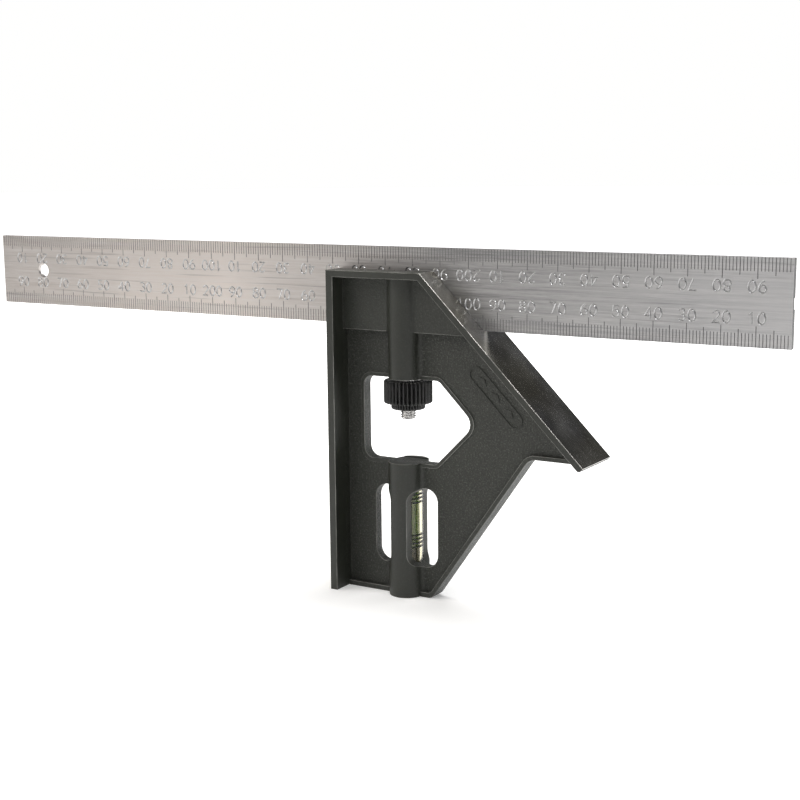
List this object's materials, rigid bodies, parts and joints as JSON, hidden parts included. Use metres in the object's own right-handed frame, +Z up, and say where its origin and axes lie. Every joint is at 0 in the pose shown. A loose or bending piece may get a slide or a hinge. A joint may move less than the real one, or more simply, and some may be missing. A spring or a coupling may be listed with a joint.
{
  "type": "combination square",
  "caption": "Steel rule clamped in a cast square and mitre head, with a hook bolt, a knurled nut and a spirit level vial.",
  "frame": {"origin": "middle of the blade's length and thickness, at the level of the head's foot", "axes": "+X along the blade towards the side of the 45 degree face, +Y away from the graduated front, +Z up"},
  "size_m": [0.3, 0.0202, 0.1122],
  "materials": {
    "head_paint": "satin, fine grain",
    "blade_steel": "satin, grained along its length",
    "plated_steel": "bright",
    "spring_steel": "bright",
    "nut_black": "semi gloss",
    "vial_clear": "clear",
    "vial_ink": "matt",
    "vial_fluid": "clear",
    "vial_air": "clear",
    "vial_plug": "matt"
  },
  "bodies": {
    "head": {"head": "head_paint", "clamp_spring": "spring_steel", "clamp_washer": "plated_steel", "vial_tube": "vial_clear", "vial_lines": "vial_ink", "vial_liquid": "vial_fluid", "vial_bubble": "vial_air", "vial_end_cap": "vial_plug", "vial_retainer": "vial_plug"},
    "blade": {"blade": "blade_steel"},
    "clamp_bolt": {"clamp_bolt": "plated_steel"},
    "knurled_nut": {"knurled_nut": "nut_black"}
  },
  "joints": [
    {"name": "blade_slide", "type": "slide", "parent": "head", "child": "blade", "axis": [1, 0, 0], "range_m": [-0.115, 0.165]},
    {"name": "nut_spin", "type": "hinge", "parent": "head", "child": "knurled_nut", "pos_m": [0.0275, 0, 0.066], "axis": [0, 0, -1], "range_deg": [0, 540]},
    {"name": "bolt_lift", "type": "slide", "parent": "head", "child": "clamp_bolt", "axis": [0, 0, 1], "range_m": [0, 0.0012], "deforming": ["clamp_spring"]}
  ],
  "couplings": [
    {"joint": "nut_spin", "follows": "bolt_lift", "rad_per_m": 7854}
  ]
}
